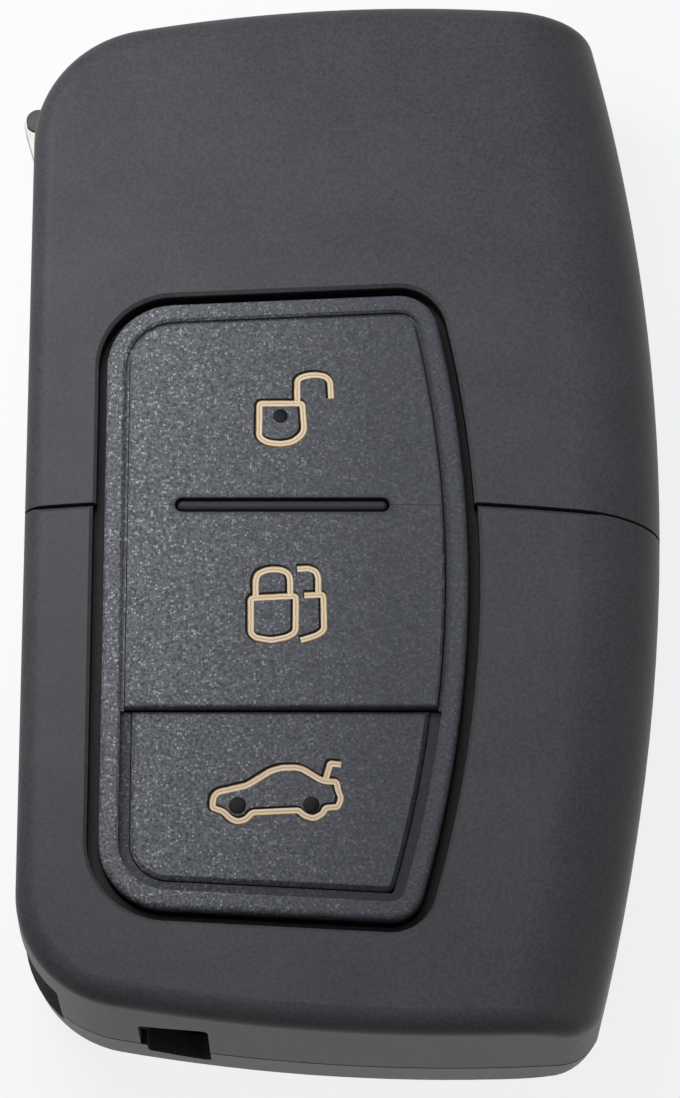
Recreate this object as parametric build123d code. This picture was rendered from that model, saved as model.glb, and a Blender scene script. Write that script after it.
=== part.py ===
from build123d import *
from functools import lru_cache
from math import cos, hypot, radians, sin, sqrt, tan
import os

# Folding car key with three buttons. A moulded key case carries the blade on a
# sprung flip hub, and a transmitter unit slides out of the case's lower end.
# Millimetres. The key lies on its back: X runs across it, Y towards the hinge end
# and Z out of the button face. The origin is on the back face, in the middle of the
# width and level with the bar between the two lock keys.

# Housing outline and section
case_thickness = 17.0
case_left_x = -21.2
case_right_x = 21.45
head_end_y = 36.62
ring_end_y = -35.25
side_bow_radius = 138.0
side_bow_y = 2.4
head_bow_radius = 108.0
head_bow_x = 5.0
ring_bow_radius = 128.0
ring_bow_x = 7.25
head_corner_radius = 8.8
ring_corner_radius = 7.8
ring_toe_x = 16.35
ring_toe_lean = 15.5
ring_toe_radius = 3.0
front_draft = 2.0
front_round = 5.7
back_draft = 2.5
back_round = 4.8
front_edge_radius = 1.5
back_edge_radius = 0.9
inner_edge_radius = 0.4
wall = 1.6

# Joints between the mouldings
parting_z = 6.3
parting_gap = 0.2
split_gap = 0.18
split_y = 0.5
split_bow_x = -3.65
split_bow_radius = 210.0
split_chamfer = 0.25
lip_inset = 0.95
lip_width = 0.6
lip_height = 0.8
lip_gap = 0.05
fit_gap = 0.2
slide_gap = 0.2
rail_width = 0.9
rail_height = 0.9
rail_end_y = 11.0

# Blade and flip hub
hub_x = -14.25
hub_y = 28.55
hub_radius = 6.15
hub_foot_radius = 5.2
hub_height = 5.45
hub_end_play = 0.1
hub_roof = 1.1
hub_pocket_radius = 4.6
pivot_radius = 2.0
running_gap = 0.05
blade_width = 7.8
blade_thickness = 2.6
blade_length = 51.4
blade_offset = 2.3
blade_tip_chamfer = 2.4
blade_top_gap = 0.5
groove_width = 2.1
groove_depth = 0.55
tang_width = 4.6
tang_thickness = 1.6
tang_length = 8.6
holder_length = 9.5
holder_gap = 0.7
thumb_lug_reach = 7.85
thumb_lug_angle = 154.5
thumb_lug_radius = 0.85
heel_width = 1.75
heel_length = 3.0
heel_rise = 4.5
roll_pin_radius = 0.8
sill_height = 1.6
slot_clearance = 0.35
slot_end_x = -6.5
deck_thickness = 1.0

# Release button and spring under the hub
button_radius = 3.2
button_recess = 0.3
button_height = 4.3
button_gap = 0.1
button_travel = 1.2
flange_radius = 4.15
flange_height = 0.85
spring_wire = 0.55
spring_turns = 2.25

# Keyring passage through the lower corner
ring_post_depth = 1.2
ring_post_reach = 2.4
ring_post_end_x = -18.35
ring_slot_left_x = -13.15
ring_slot_right_x = -8.6
ring_slot_step = 0.4
ring_slot_low_z = 3.9
ring_slot_high_z = 11.3
ring_slot_drop = 0.9
ring_slot_rise = 1.2
ring_slot_corner = 0.5
ring_side_low_z = 4.0
ring_side_high_z = 12.0
ring_wall = 0.8

# Button pad outline
pad_left_x = -15.58
pad_bow_x = 8.29
pad_bow_y = -4.35
pad_bow_radius = 78.7
pad_head_left_y = 13.98
pad_head_right_y = 14.95
pad_ring_left_y = -26.77
pad_ring_right_y = -27.85
pad_left_corner = 4.5
pad_head_corner = 2.7
pad_ring_corner = 2.2
pad_gap_head = 0.55
pad_gap_ring = 0.75
pad_opening_chamfer = 0.22

# Rubber rim, keys and bar
rim_width = 1.25
rim_groove = 0.3
boot_groove = 0.75
key_gap = 0.06
seam_gap = 0.02
rim_chamfer = 0.16
groove_floor_depth = 0.45
boot_floor_depth = 0.85
key_crown = 0.12
boot_sink = 0.45
key_plate = 1.4
boot_plate = 0.95
rubber_round = 0.22
boot_bevel = 0.28
boot_corner = 0.6
web_height = 0.45
web_reach = 1.4
bar_x = -3.9
bar_y = 0.0
bar_length = 14.1
bar_slot = 1.0
bar_width = 0.66
bar_sink = 0.06
step_y = -13.8
step_gap = 0.15
key_tilt = 2.2
boot_travel = 0.45
press_margin = 0.06
nub_radius = 1.3

# Transmitter pod and electronics
pod_margin = 2.4
pod_wall = 1.2
pod_end_y = -24.4
tray_height = 1.0
tray_pocket = 0.5
tray_ledge = 1.0
pocket_gap = 0.1
ledge_width = 0.5
ledge_height = 0.5
door_thickness = 0.9
door_gap = 0.1
coin_slot_length = 9.0
coin_slot_width = 1.6
cell_radius = 10.0
cell_thickness = 3.2
cell_x = -3.6
cell_y = -11.6
contact_thickness = 0.3
contact_width = 4.0
board_thickness = 0.8
board_gap = 0.3
switch_size = 4.5
switch_height = 1.0
plunger_radius = 1.1
plunger_height = 0.25
key_switch_x = -3.9
unlock_switch_y = 8.0
lock_switch_y = -8.2
boot_switch_y = -19.6
controller_x = 2.8
controller_y = 6.5
controller_size = 5.0
controller_height = 0.9
leg_pitch = 0.65
leg_width = 0.28
leg_reach = 0.6
leg_thickness = 0.15
aerial_x = -4.0
aerial_y = 6.0
aerial_length = 16.0
aerial_width = 4.0
aerial_height = 1.8
winding_length = 11.0
ferrite_inset = 0.35

# Fixings and chip in the head
screw_places = [(1.5, 30.5), (14.0, 12.0), (14.2, -18.0)]
screw_radius = 0.9
screw_head_radius = 1.6
screw_head_height = 0.6
screw_bite = 4.0
boss_radius = 2.1
peg_places = [(-3.0, 24.5), (12.5, 27.5)]
peg_radius = 2.0
peg_pin_radius = 1.1
rib_width = 1.0
chip_length = 11.5
chip_width = 6.0
chip_height = 3.0
chip_x = 6.0
chip_y = 22.0

# Heights stacked from the back face
floor_z = wall
hub_low_z = floor_z + hub_end_play
hub_high_z = hub_low_z + hub_height
deck_low_z = hub_high_z + 1.5 * hub_end_play
deck_high_z = deck_low_z + deck_thickness
door_low_z = deck_high_z + slide_gap
cell_low_z = door_low_z + door_thickness
cell_high_z = cell_low_z + cell_thickness
board_low_z = cell_high_z + contact_thickness
board_high_z = board_low_z + board_thickness
switch_high_z = board_high_z + switch_height
sill_z = floor_z + sill_height
blade_high_z = deck_low_z - blade_top_gap
blade_low_z = blade_high_z - blade_thickness

# Heights taken from the button face
face_z = case_thickness
tray_high_z = face_z - wall - slide_gap
tray_low_z = tray_high_z - tray_height
rim_low_z = tray_high_z - tray_pocket
web_high_z = rim_low_z + web_height
key_low_z = face_z + key_crown - key_plate
boot_high_z = face_z - boot_sink

# Places that follow from the swing of the blade
blade_left_x = hub_x - blade_offset - blade_width / 2
blade_right_x = blade_left_x + blade_width
blade_tip_y = hub_y - blade_length
tip_reach = hypot(blade_length, hub_x - blade_left_x)
slot_end_y = hub_y - tip_reach - slot_clearance
ring_side_y = slot_end_y - ring_wall

far = 500.0


# Basic solids

def block(x0, x1, y0, y1, z0, z1):
    return Pos((x0 + x1) / 2, (y0 + y1) / 2, (z0 + z1) / 2) * Box(x1 - x0, y1 - y0, z1 - z0)


def rod(x, y, radius, z0, z1):
    return Pos(x, y, (z0 + z1) / 2) * Cylinder(radius, z1 - z0)


def slab(face, z0, z1):
    return extrude(Pos(0, 0, z0) * face, z1 - z0)


def above(z):
    return block(-far, far, -far, far, z, far)


def below(z):
    return block(-far, far, -far, far, -far, z)


def corner(sketch, x, y):
    return min(sketch.vertices(), key=lambda v: hypot(v.X - x, v.Y - y))


# Housing: two halves drafted away from the parting line. Each is a plan outline
# crossed with a turned side section, so that the long side bows and rounds over
# while the ends and the left side stay nearly upright.

def bow_y(end_y, radius, middle_x, x, outward):
    return end_y + outward * (sqrt(radius**2 - (x - middle_x)**2) - radius)


def head_edge(x, inset=0.0):
    return bow_y(head_end_y - inset, head_bow_radius - inset, head_bow_x, x, 1)


def ring_edge(x, inset=0.0):
    return bow_y(ring_end_y + inset, ring_bow_radius - inset, ring_bow_x, x, -1)


def plan_outline(inset, toe_radius=0.0):
    left = case_left_x + inset
    right = case_right_x + 4.0
    toe_x = ring_toe_x - inset if toe_radius else right
    ring_left = (left, ring_edge(left, inset))
    ring_right = (toe_x, ring_edge(toe_x, inset))
    head_left = (left, head_edge(left, inset))
    head_right = (right, head_edge(right, inset))
    side = [ring_right, head_right]
    if toe_radius:
        side.insert(1, (right, ring_right[1] + (right - toe_x) / tan(radians(ring_toe_lean))))
    with BuildSketch() as plan:
        with BuildLine():
            ThreePointArc(ring_left, (0, ring_edge(0, inset)), ring_right)
            Polyline(side)
            ThreePointArc(head_right, (0, head_edge(0, inset)), head_left)
            Line(head_left, ring_left)
        make_face()
        fillet(corner(plan, *head_left), head_corner_radius - inset)
        fillet(corner(plan, *ring_left), ring_corner_radius - inset)
        if toe_radius:
            fillet(corner(plan, *ring_right), toe_radius)
    return plan.sketch


def side_section(inset, slope, past_z, face_z, round_radius):
    inner_x = case_right_x - side_bow_radius / 2
    past_x = case_right_x - inset + abs(past_z - parting_z) * slope
    face_x = case_right_x - inset - abs(face_z - parting_z) * slope
    with BuildSketch() as section:
        with BuildLine():
            Polyline((inner_x, past_z), (past_x, past_z), (face_x, face_z), (inner_x, face_z), close=True)
        make_face()
        fillet(corner(section, face_x, face_z), round_radius - inset)
    return section.sketch


def housing_half(inset, face_z, draft, round_radius, edge_radius):
    slope = tan(radians(draft))
    overrun = 2.0
    outward = 1 if face_z > parting_z else -1
    past_z = parting_z - outward * overrun
    beyond_z = face_z + outward * overrun
    narrowing = abs(beyond_z - parting_z) * slope
    toe_radius = 0.0 if inset else ring_toe_radius
    ends = [
        (past_z, plan_outline(inset - overrun * slope, toe_radius)),
        (beyond_z, plan_outline(inset + narrowing, toe_radius)),
    ]
    ends.sort(key=lambda end: end[0])
    prism = loft([(Pos(0, 0, z) * outline).face() for z, outline in ends], ruled=True)
    section = side_section(inset, slope, past_z, face_z - outward * inset, round_radius)
    turn = 60.0
    turn_axis = Axis((case_right_x - side_bow_radius, side_bow_y, 0), (0, 0, 1))
    upright = Plane((0, side_bow_y, 0), x_dir=(1, 0, 0), z_dir=(0, -1, 0))
    turned = revolve((upright * section).rotate(turn_axis, -turn / 2), turn_axis, turn)
    form = prism & turned
    edges = new_edges(prism, turned, combined=form)
    return fillet(edges, max(edge_radius - inset, inner_edge_radius))


@lru_cache
def front_form(inset):
    return housing_half(inset, case_thickness, front_draft, front_round, front_edge_radius)


@lru_cache
def back_form(inset):
    return housing_half(inset, 0.0, back_draft, back_round, back_edge_radius)


# Button pad outline, with a straight left side and a bowed right side

@lru_cache
def pad_face(grow):
    def bow_x(y):
        return pad_bow_x - pad_bow_radius + sqrt(pad_bow_radius**2 - (y - pad_bow_y)**2)

    ring_right = (bow_x(pad_ring_right_y), pad_ring_right_y)
    head_right = (bow_x(pad_head_right_y), pad_head_right_y)
    head_left = (pad_left_x, pad_head_left_y)
    ring_left = (pad_left_x, pad_ring_left_y)
    with BuildSketch() as pad:
        with BuildLine():
            Line(ring_left, ring_right)
            ThreePointArc(ring_right, (pad_bow_x, pad_bow_y), head_right)
            Line(head_right, head_left)
            Line(head_left, ring_left)
        make_face()
        fillet([corner(pad, *head_left), corner(pad, *ring_left)], pad_left_corner)
        fillet(corner(pad, *head_right), pad_head_corner)
        fillet(corner(pad, *ring_right), pad_ring_corner)
    if grow == 0:
        return pad.sketch
    return offset(pad.sketch, grow)


def pad_slab(grow, z0, z1):
    return slab(pad_face(grow), z0, z1)


def pad_flare(grow, width):
    low = Pos(0, 0, face_z - width) * pad_face(grow)
    high = Pos(0, 0, face_z + width) * pad_face(grow + 2 * width)
    return loft([low.face(), high.face()], ruled=True)


# Openings shared by the mouldings

def blade_slot(top_z):
    return block(-far, slot_end_x, slot_end_y, far, sill_z, top_z)


def ring_openings(step):
    left = ring_slot_left_x + step
    right = ring_slot_right_x
    with BuildSketch(Plane.XZ) as end_outline:
        with BuildLine():
            Polyline(
                (left, ring_slot_low_z),
                (right, ring_slot_low_z - ring_slot_drop),
                (right, ring_slot_high_z + ring_slot_rise),
                (left, ring_slot_high_z),
                close=True,
            )
        make_face()
        fillet(end_outline.vertices(), ring_slot_corner)
    end = extrude(end_outline.sketch, far) & block(-far, far, -far, ring_side_y, 0, far)
    side = block(-far, right, -far, ring_side_y, ring_side_low_z, ring_side_high_z)
    return end + (side - post_zone(far))


def post_zone(right):
    centre_x = case_left_x + ring_corner_radius
    centre_y = ring_edge(centre_x) + ring_corner_radius
    start_y = centre_y - sqrt(ring_corner_radius**2 - (centre_x - ring_post_end_x)**2)
    zone = block(ring_post_end_x, right, -far, start_y + ring_post_reach, -1, far)
    return zone - slab(plan_outline(wall + fit_gap + ring_post_depth), -1, far)


def lip(inset, width, z0, z1):
    ring = front_form(inset) - front_form(inset + width)
    return ring & above(z0) & below(z1)


# Split between the head and the transmitter: an arc across the button face

def split_disc(margin):
    radius = split_bow_radius + margin
    return rod(split_bow_x, split_y - split_bow_radius, radius, -far, far)


def split_edge_cut():
    radius = split_bow_radius - split_gap / 2
    rise = 2.0
    place = Pos(split_bow_x, split_y - split_bow_radius, face_z - split_chamfer + rise / 2)
    return place * (Cylinder(radius + 1.0, rise) - Cone(radius, radius - rise, rise))


# Rear shell: full-length tray with the blade bay, keyring post, bosses and ribs

def rear_shell():
    top_z = parting_z - parting_gap / 2
    shell = (back_form(0) - back_form(wall)) & below(top_z)
    shell += lip(lip_inset, lip_width, top_z, top_z + lip_height)
    shell -= blade_slot(far)
    room = back_form(wall / 2) & below(top_z)
    room += front_form(wall + fit_gap) & above(top_z) & below(deck_low_z)
    bay_rib_x = blade_right_x + holder_gap
    ribs = block(bay_rib_x, bay_rib_x + rib_width, ring_side_y, hub_y - holder_length - 2, 0, far)
    ribs += block(-far, bay_rib_x + rib_width, ring_side_y, slot_end_y, 0, far)
    ribs += block(bay_rib_x, far, ring_side_y, ring_side_y + ring_wall, 0, deck_low_z - 2.0)
    for x, y in screw_places:
        ribs += rod(x, y, boss_radius, 0, far)
    ribs += chip_pocket()
    shell += ribs & room
    shell += ring_post()
    shell -= ring_openings(ring_slot_step)
    shell -= rod(hub_x, hub_y, hub_foot_radius + fit_gap, floor_z, far)
    shell += rod(hub_x, hub_y, button_ring_radius(), floor_z / 2, floor_z + hub_end_play + 0.35)
    shell -= rod(hub_x, hub_y, button_radius + button_gap, -1, far)
    for x, y in screw_places:
        shell -= rod(x, y, screw_radius - 0.15, deck_low_z - screw_bite - 0.5, far)
    return shell


def button_ring_radius():
    return hub_pocket_radius - running_gap


def ring_post():
    top_z = parting_z - parting_gap / 2
    post = front_form(wall + fit_gap) & above(top_z) & below(deck_high_z)
    post += back_form(wall / 2) & above(floor_z / 2) & below(top_z)
    return post & post_zone(ring_slot_left_x + ring_slot_step)


def chip_pocket():
    outer = block(
        chip_x - chip_length / 2 - rib_width,
        chip_x + chip_length / 2 + rib_width,
        chip_y - chip_width / 2 - rib_width,
        chip_y + chip_width / 2 + rib_width,
        0,
        floor_z + chip_height * 0.8,
    )
    return outer - block(
        chip_x - chip_length / 2 - fit_gap / 2,
        chip_x + chip_length / 2 + fit_gap / 2,
        chip_y - chip_width / 2 - fit_gap / 2,
        chip_y + chip_width / 2 + fit_gap / 2,
        floor_z,
        far,
    )


# Upper front shell: the fixed cover of the head, notched round the button pad

def upper_front_shell():
    low_z = parting_z + parting_gap / 2
    shell = (front_form(0) - front_form(wall)) & above(low_z)
    shell -= split_disc(split_gap / 2)
    shell -= lip(lip_inset - lip_gap, lip_width + 1.0, 0, parting_z + lip_height + lip_gap)
    shell -= blade_slot(deck_high_z + lip_gap)
    shell -= pad_slab(pad_gap_head, tray_high_z, far)
    shell -= pad_flare(pad_gap_head, pad_opening_chamfer)
    room = front_form(wall / 2)
    for x, y in peg_places:
        shell += rod(x, y, peg_radius, deck_high_z, face_z) & room
        shell += rod(x, y, peg_pin_radius, deck_low_z + 0.1, deck_high_z + 1.0)
    return shell


# Blade deck: inner plate over the blade bay, on which the transmitter slides

def blade_deck():
    band = above(deck_low_z) & below(deck_high_z)
    plate = front_form(wall + fit_gap) & band
    flush_edge = front_form(fit_gap) & band
    plate += flush_edge & block(-far, slot_end_x - fit_gap, slot_end_y + fit_gap, far, 0, far)
    plate -= block(-far, ring_slot_right_x + wall, -far, ring_side_y, 0, far)
    plate -= rod(hub_x, hub_y, pivot_radius + running_gap, 0, far)
    for x, y in screw_places:
        plate -= rod(x, y, screw_radius + 0.1, 0, far)
        plate -= rod(x, y, screw_head_radius + 0.1, deck_high_z - screw_head_height, far)
    for x, y in peg_places:
        plate -= rod(x, y, peg_pin_radius + running_gap, 0, far)
    return plate + guide_rails()


def guide_rails():
    left = pad_left_x - pod_margin - slide_gap
    right = pad_bow_x + pod_margin + slide_gap
    low_y = slot_end_y + 1.5
    low_z = deck_high_z - deck_thickness / 2
    rails = block(left - rail_width, left, low_y, rail_end_y, low_z, deck_high_z + rail_height)
    rails += block(right, right + rail_width, low_y, rail_end_y, low_z, deck_high_z + rail_height)
    return rails


def deck_screw(x, y):
    head = rod(x, y, screw_head_radius, deck_high_z - screw_head_height, deck_high_z)
    shank = rod(x, y, screw_radius - 0.15, deck_low_z - screw_bite, deck_high_z)
    cross = block(x - 1.0, x + 1.0, y - 0.2, y + 0.2, deck_high_z - 0.35, far)
    cross += block(x - 0.2, x + 0.2, y - 1.0, y + 1.0, deck_high_z - 0.35, far)
    return head + shank - cross


def deck_screws():
    return Compound([deck_screw(x, y).solid() for x, y in screw_places])


def transponder_chip():
    chip = block(
        chip_x - chip_length / 2,
        chip_x + chip_length / 2,
        chip_y - chip_width / 2,
        chip_y + chip_width / 2,
        floor_z,
        floor_z + chip_height,
    )
    wedge = chip.edges().filter_by(Axis.Y).group_by(Axis.Z)[-1]
    return chamfer(wedge, chip_height / 3)


# Flip hub: sprung disc with a holder for the blade's tang and a thumb lug

def thumb_lug(grow):
    angle = radians(thumb_lug_angle)
    tip = (hub_x + thumb_lug_reach * cos(angle), hub_y + thumb_lug_reach * sin(angle))
    web = Rectangle(thumb_lug_reach, 1.3 * thumb_lug_radius + 2 * grow)
    web = Pos(hub_x, hub_y) * Rot(0, 0, thumb_lug_angle) * Pos(thumb_lug_reach / 2, 0) * web
    nose = Pos(*tip) * Circle(thumb_lug_radius + grow)
    return slab(web + nose, blade_low_z - grow, blade_high_z + grow)


def flip_hub():
    hub = rod(hub_x, hub_y, hub_radius, sill_z + hub_end_play, hub_high_z)
    hub += rod(hub_x, hub_y, hub_foot_radius, hub_low_z, hub_high_z)
    holder = block(
        blade_left_x,
        blade_right_x,
        hub_y - holder_length,
        hub_y,
        blade_low_z - 0.7,
        hub_high_z,
    )
    holder = fillet(holder.edges().filter_by(Axis.Z).group_by(Axis.Y)[0], 1.0)
    hub += holder
    hub += thumb_lug(0.0)
    hub = chamfer(hub.faces().sort_by(Axis.Z)[-1].edges(), 0.3)
    hub += rod(hub_x, hub_y, pivot_radius, hub_high_z - 0.5, deck_high_z - running_gap)
    hub -= rod(hub_x, hub_y, hub_pocket_radius, 0, hub_high_z - hub_roof)
    hub -= tang_block(0.0)
    hub -= rod(*pin_place(), roll_pin_radius, 0, far)
    return hub


def tang_block(shorter):
    middle_x = (blade_left_x + blade_right_x) / 2
    middle_z = (blade_low_z + blade_high_z) / 2
    return block(
        middle_x - tang_width / 2,
        middle_x + tang_width / 2,
        hub_y - holder_length - 0.5,
        hub_y - holder_length + tang_length * 0.5 - shorter,
        middle_z - tang_thickness / 2,
        middle_z + tang_thickness / 2,
    )


def pin_place():
    return ((blade_left_x + blade_right_x) / 2, hub_y - holder_length + 2.2)


def key_blade():
    left = blade_left_x
    right = blade_right_x
    root_y = hub_y - holder_length
    tip = blade_tip_chamfer
    with BuildSketch() as outline:
        with BuildLine():
            Polyline(
                (left, root_y),
                (left, blade_tip_y + tip),
                (left + tip, blade_tip_y),
                (right - tip, blade_tip_y),
                (right, blade_tip_y + tip),
                (right, root_y),
                close=True,
            )
        make_face()
        tips = [corner(outline, left + tip, blade_tip_y), corner(outline, right - tip, blade_tip_y)]
        fillet(tips, 1.0)
    blade = slab(outline.sketch, blade_low_z, blade_high_z)
    middle_x = (left + right) / 2
    track_low_y = blade_tip_y + 1.2
    track_high_y = root_y - 4.0
    track = SlotOverall(track_high_y - track_low_y, groove_width, rotation=90)
    place = Pos(middle_x, (track_low_y + track_high_y) / 2, 0)
    blade -= slab(place * track, blade_high_z - groove_depth, far)
    blade -= slab(place * track, 0, blade_low_z + groove_depth)
    blade += tang_block(0.1)
    blade += heel()
    return blade - rod(*pin_place(), roll_pin_radius, 0, far)


def heel():
    inner = hub_x - hub_radius - fit_gap / 2
    outer = blade_left_x - heel_width
    root_y = hub_y - holder_length
    high_y = hub_y + thumb_lug_reach * sin(radians(thumb_lug_angle))
    with BuildSketch() as shape:
        with BuildLine():
            Polyline(
                (blade_left_x + 1.0, root_y - heel_length),
                (blade_left_x + 1.0, root_y),
                (inner, root_y),
                (inner, high_y),
                (outer - 0.35, high_y),
                (outer + 0.3, root_y + heel_rise),
                (outer + 0.3, root_y),
                (blade_left_x, root_y - heel_length),
                close=True,
            )
        make_face()
    return slab(shape.sketch, blade_low_z, blade_high_z) - thumb_lug(fit_gap / 2)


def blade_roll_pin():
    pin = rod(*pin_place(), roll_pin_radius, blade_low_z - 0.7, hub_high_z)
    return pin - rod(*pin_place(), roll_pin_radius * 0.5, 0, far)


def flip_spring():
    low = button_flange_low() + flange_height
    high = hub_high_z - hub_roof
    pitch = (high - low - spring_wire) / spring_turns
    radius = (hub_pocket_radius + button_radius) / 2
    path = Helix(pitch, pitch * spring_turns, radius)
    start = path @ 0
    profile = Plane(origin=start, z_dir=path % 0) * Circle(spring_wire / 2)
    coil = sweep(profile, path=path)
    return Pos(hub_x, hub_y, low + spring_wire / 2) * coil


def button_flange_low():
    return floor_z + hub_end_play + 0.35 + running_gap


def release_button():
    button = rod(hub_x, hub_y, button_radius, button_recess, button_recess + button_height)
    button = fillet(button.edges().group_by(Axis.Z)[0], 0.5)
    low = button_flange_low()
    return button + rod(hub_x, hub_y, flange_radius, low, low + flange_height)


# Lower front shell: the transmitter's moulding, outer skin with the pod behind it

def lower_front_shell():
    low_z = parting_z + parting_gap / 2
    cavity = front_form(wall) & below(tray_high_z)
    shell = ((front_form(0) - cavity) & above(low_z)) & split_disc(-split_gap / 2)
    shell -= split_edge_cut()
    shell -= lip(lip_inset - lip_gap, lip_width + 1.0, 0, parting_z + lip_height + lip_gap)
    shell -= blade_slot(deck_high_z + lip_gap)
    shell -= ring_openings(0.0)
    shell -= pad_slab(pad_gap_ring, tray_high_z, far)
    shell -= pad_flare(pad_gap_ring, pad_opening_chamfer)
    shell += pod()
    return shell


def pod():
    above_end = block(-far, far, pod_end_y, far, 0, far)
    inside_end = block(-far, far, pod_end_y + pod_wall, far, 0, far)
    room = pad_slab(pod_margin - pod_wall, 0, tray_low_z) & inside_end
    tray = pad_slab(pod_margin, tray_low_z, tray_high_z)
    tray -= pad_slab(pocket_gap, rim_low_z, far)
    tray -= pad_slab(-tray_ledge, 0, far)
    walls = (pad_slab(pod_margin, door_low_z, tray_low_z) & above_end) - room
    seat = room - pad_slab(pod_margin - pod_wall - board_gap - 0.7, 0, far)
    board_seat = seat & above(board_high_z)
    door_ledge = (room - pad_slab(pod_margin - pod_wall - ledge_width, 0, far))
    door_ledge = door_ledge & above(cell_low_z) & below(cell_low_z + ledge_height)
    return tray + walls + board_seat + door_ledge


def battery_door():
    reach = pod_margin - pod_wall - door_gap
    end = block(-far, far, pod_end_y + pod_wall + door_gap, far, 0, far)
    door = pad_slab(reach, door_low_z, cell_low_z) & end
    coin_slot = SlotOverall(coin_slot_length, coin_slot_width)
    return door - slab(Pos(cell_x, cell_y, 0) * coin_slot, 0, door_low_z + door_thickness / 2)


def circuit_board():
    reach = pod_margin - pod_wall - board_gap
    end = block(-far, far, pod_end_y + pod_wall + board_gap, far, 0, far)
    board = pad_slab(reach, board_low_z, board_high_z) & end
    notch_y = (unlock_switch_y + lock_switch_y) / 2
    for x in (pad_left_x - reach, pad_bow_x + reach):
        board -= rod(x, notch_y, 1.5, 0, far)
    return board


def coin_cell():
    cell = rod(cell_x, cell_y, cell_radius, cell_low_z, cell_low_z + cell_thickness * 0.8)
    cell = fillet(cell.edges().group_by(Axis.Z)[0], 0.5)
    return cell + rod(cell_x, cell_y, cell_radius - 1.2, cell_low_z + 0.5, cell_high_z)


def battery_contact_negative():
    leaf = SlotOverall(cell_radius * 1.2, contact_width * 0.8, rotation=45)
    cross = SlotOverall(cell_radius * 1.2, contact_width * 0.8, rotation=-45)
    return slab(Pos(cell_x, cell_y, 0) * (leaf + cross), cell_high_z, board_low_z)


def battery_contact_positive():
    left = cell_x - cell_radius - contact_thickness
    half = contact_width / 2
    low_z = cell_low_z + cell_thickness * 0.3
    upright = block(left, left + contact_thickness, cell_y - half, cell_y + half, low_z, board_low_z)
    top_z = board_low_z
    foot = block(left - 1.5, left + 0.1, cell_y - half, cell_y + half, top_z - contact_thickness, top_z)
    return upright + foot


def switch(y):
    body_top = switch_high_z - plunger_height
    half = switch_size / 2
    body = block(key_switch_x - half, key_switch_x + half, y - half, y + half, board_high_z, body_top)
    body = chamfer(body.edges().filter_by(Axis.Z), 0.5)
    return body + rod(key_switch_x, y, plunger_radius, board_high_z, switch_high_z)


def controller_chip():
    half = controller_size / 2
    top_z = board_high_z + controller_height
    chip = block(
        controller_x - half,
        controller_x + half,
        controller_y - half,
        controller_y + half,
        board_high_z + leg_thickness / 2,
        top_z,
    )
    chip = chamfer(chip.edges().filter_by(Axis.Z), 0.2)
    chip -= rod(controller_x - half * 0.7, controller_y + half * 0.7, 0.35, top_z - 0.1, far)
    reach = half + leg_reach
    for step in range(-3, 4):
        y = controller_y + step * leg_pitch
        leg = block(
            controller_x - reach,
            controller_x + reach,
            y - leg_width / 2,
            y + leg_width / 2,
            board_high_z,
            board_high_z + leg_thickness,
        )
        chip += leg
    return chip


def antenna_coil():
    high_z = board_low_z
    low_z = high_z - aerial_height
    core = block(
        aerial_x - aerial_length / 2,
        aerial_x + aerial_length / 2,
        aerial_y - aerial_width / 2 + ferrite_inset,
        aerial_y + aerial_width / 2 - ferrite_inset,
        low_z + ferrite_inset,
        high_z,
    )
    core = chamfer(core.edges().filter_by(Axis.Z), ferrite_inset)
    winding = block(
        aerial_x - winding_length / 2,
        aerial_x + winding_length / 2,
        aerial_y - aerial_width / 2,
        aerial_y + aerial_width / 2,
        low_z,
        high_z,
    )
    return core + fillet(winding.edges().filter_by(Axis.X).group_by(Axis.Z)[0], ferrite_inset)


# Rubber pad: rim with its web and the bar between the two lock keys

def button_pad():
    ring = pad_slab(0, rim_low_z, face_z)
    ring = fillet(ring.faces().sort_by(Axis.Z)[-1].edges(), rubber_round * 2)
    ring -= pad_slab(-rim_width, 0, far)
    ring -= pad_flare(-rim_width, rim_chamfer)
    panel_edge = -(rim_width + rim_groove - key_gap)
    floor = pad_slab(-rim_width + 0.1, rim_low_z, face_z - groove_floor_depth)
    floor -= pad_slab(panel_edge, 0, far)
    upper = floor & block(-far, far, step_y - step_gap / 2, far, 0, far)
    boot_edge = -(rim_width + boot_groove - key_gap)
    floor = pad_slab(-rim_width + 0.1, rim_low_z, face_z - boot_floor_depth)
    floor -= pad_slab(boot_edge, 0, far)
    lower = floor & block(-far, far, -far, step_y - step_gap / 2, 0, far)
    web = pad_slab(-rim_width + 0.1, rim_low_z, web_high_z)
    web -= pad_slab(-rim_width - web_reach, 0, far)
    pad = ring + upper + lower + web
    carrier_low = pad_slab(-rim_width + 0.1, rim_low_z, key_low_z - key_gap)
    pad += carrier_low & block(-far, far, bar_y - bar_slot / 2, bar_y + bar_slot / 2, 0, far)
    return pad + bar()


def bar():
    stem_top = face_z + key_crown - bar_sink - bar_width / 2
    stem = slab(Pos(bar_x, bar_y, 0) * SlotOverall(bar_length - bar_slot + bar_width, bar_width),
                key_low_z - key_gap - 0.2, stem_top)
    half_run = (bar_length - bar_slot) / 2
    ridge = Pos(bar_x, bar_y, stem_top) * Rot(0, 90, 0) * Cylinder(bar_width / 2, 2 * half_run)
    for side in (-1, 1):
        ridge += Pos(bar_x + side * half_run, bar_y, stem_top) * Sphere(bar_width / 2)
    return stem + ridge


def bar_cut():
    return slab(Pos(bar_x, bar_y, 0) * SlotOverall(bar_length, bar_slot), 0, far)


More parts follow.
